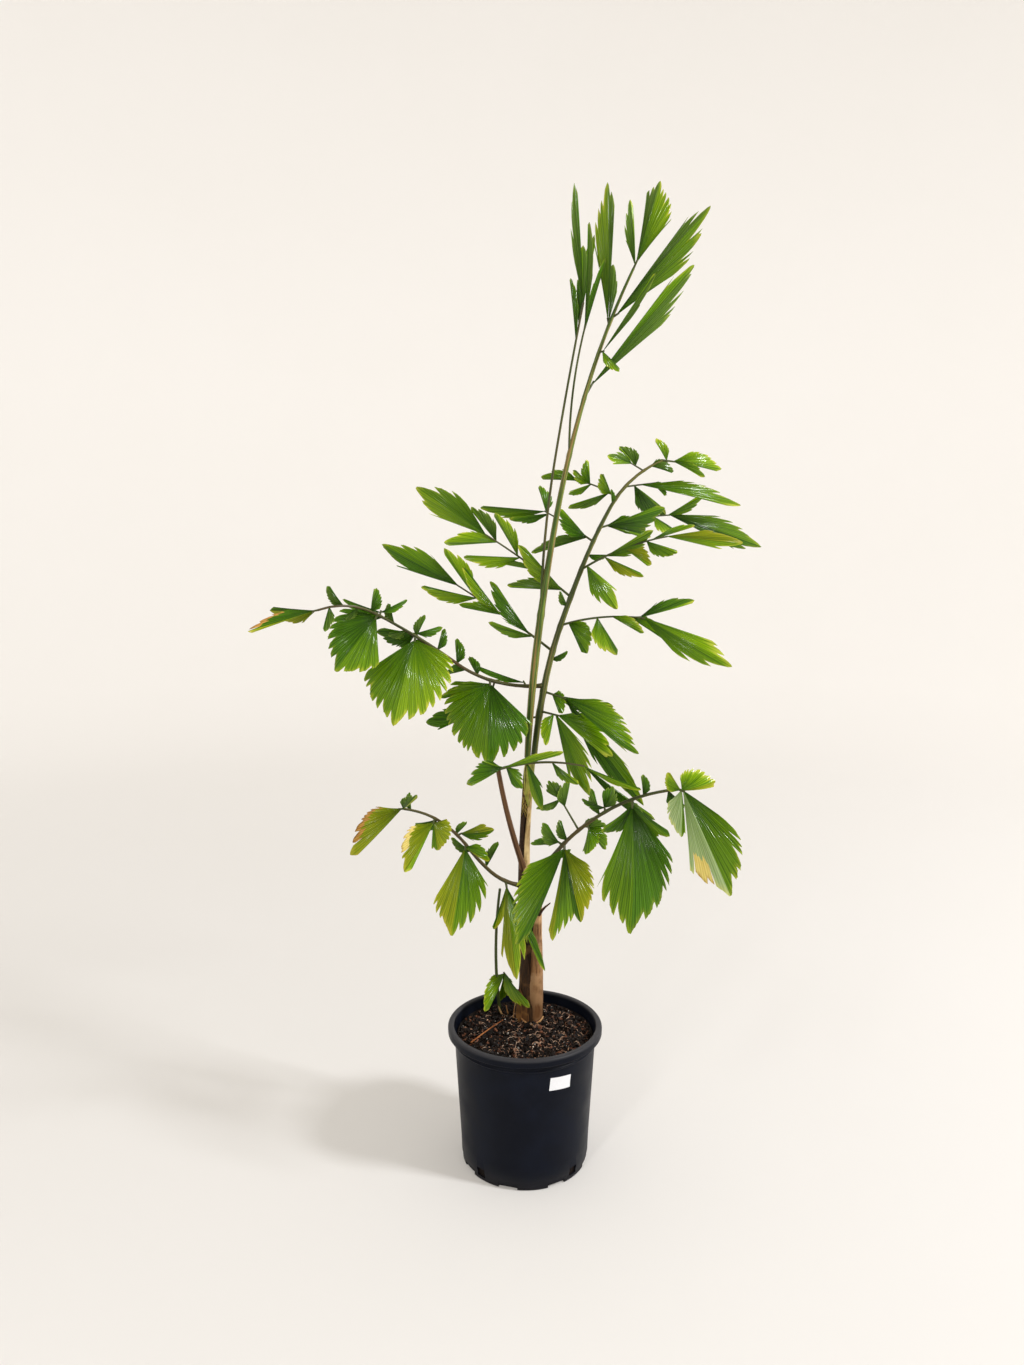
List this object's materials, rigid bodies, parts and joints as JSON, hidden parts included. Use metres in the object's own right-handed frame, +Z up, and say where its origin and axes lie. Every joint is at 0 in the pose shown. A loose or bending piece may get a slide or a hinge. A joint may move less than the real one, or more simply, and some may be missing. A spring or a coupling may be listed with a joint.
{
  "type": "potted clustering fishtail palm",
  "caption": "Young clustering fishtail palm with jagged wedge leaflets, an upright new leaf and arching fronds, in a dark round nursery pot.",
  "frame": {"origin": "centre of the flat underside of the pot", "axes": "+Z up, -Y towards the front from which the plant was pictured, +X to the right seen from there"},
  "size_m": [0.8073, 0.4527, 1.541],
  "materials": {
    "pot_plastic": "satin",
    "potting_mix": "rough",
    "trunk_fibre": "rough",
    "tan_sheath": "matte",
    "green_stalk": "satin",
    "leaf": "satin"
  },
  "bodies": {
    "root": {"pot": "pot_plastic", "soil": "potting_mix", "trunk": "trunk_fibre", "cut_leaf_base": "tan_sheath", "spear_stalk": "green_stalk", "main_frond_stalk": "green_stalk", "left_frond_stalk": "green_stalk", "front_frond_stalk": "trunk_fibre", "right_frond_stalk": "green_stalk", "low_left_frond_stalk": "green_stalk", "sucker_stalk": "green_stalk", "seedling_stalk": "green_stalk", "spear_left_leaflets": "leaf", "spear_middle_leaflets": "leaf", "spear_tip_leaflets": "leaf", "spear_top_leaflets": "leaf", "spear_right_leaflets": "leaf", "spear_low_leaflets": "leaf", "spear_small_leaflets": "leaf", "main_frond_low_left": "leaf", "main_frond_left_1": "leaf", "main_frond_left_2": "leaf", "main_frond_left_3": "leaf", "main_frond_left_4": "leaf", "main_frond_left_5": "leaf", "main_frond_tip": "leaf", "main_frond_right_1": "leaf", "main_frond_low_right": "leaf", "main_frond_right_2": "leaf", "main_frond_right_3": "leaf", "main_frond_right_4": "leaf", "main_frond_right_5": "leaf", "left_frond_inner": "leaf", "left_frond_root": "leaf", "left_frond_under": "leaf", "left_frond_middle": "leaf", "left_frond_middle_back": "leaf", "left_frond_outer": "leaf", "left_frond_outer_back": "leaf", "left_frond_tip": "leaf", "front_frond_leaflets": "leaf", "right_frond_inner": "leaf", "right_frond_inner_back": "leaf", "right_frond_upper_twig": "leaf", "right_frond_small_leaflets": "leaf", "right_frond_upright_leaflets": "leaf", "right_frond_middle": "leaf", "right_frond_tip": "leaf", "low_left_frond_middle": "leaf", "low_left_frond_upper": "leaf", "low_left_frond_wide": "leaf", "low_left_frond_tip": "leaf", "low_left_frond_root": "leaf", "seedling_leaflets": "leaf"}
  },
  "joints": []
}
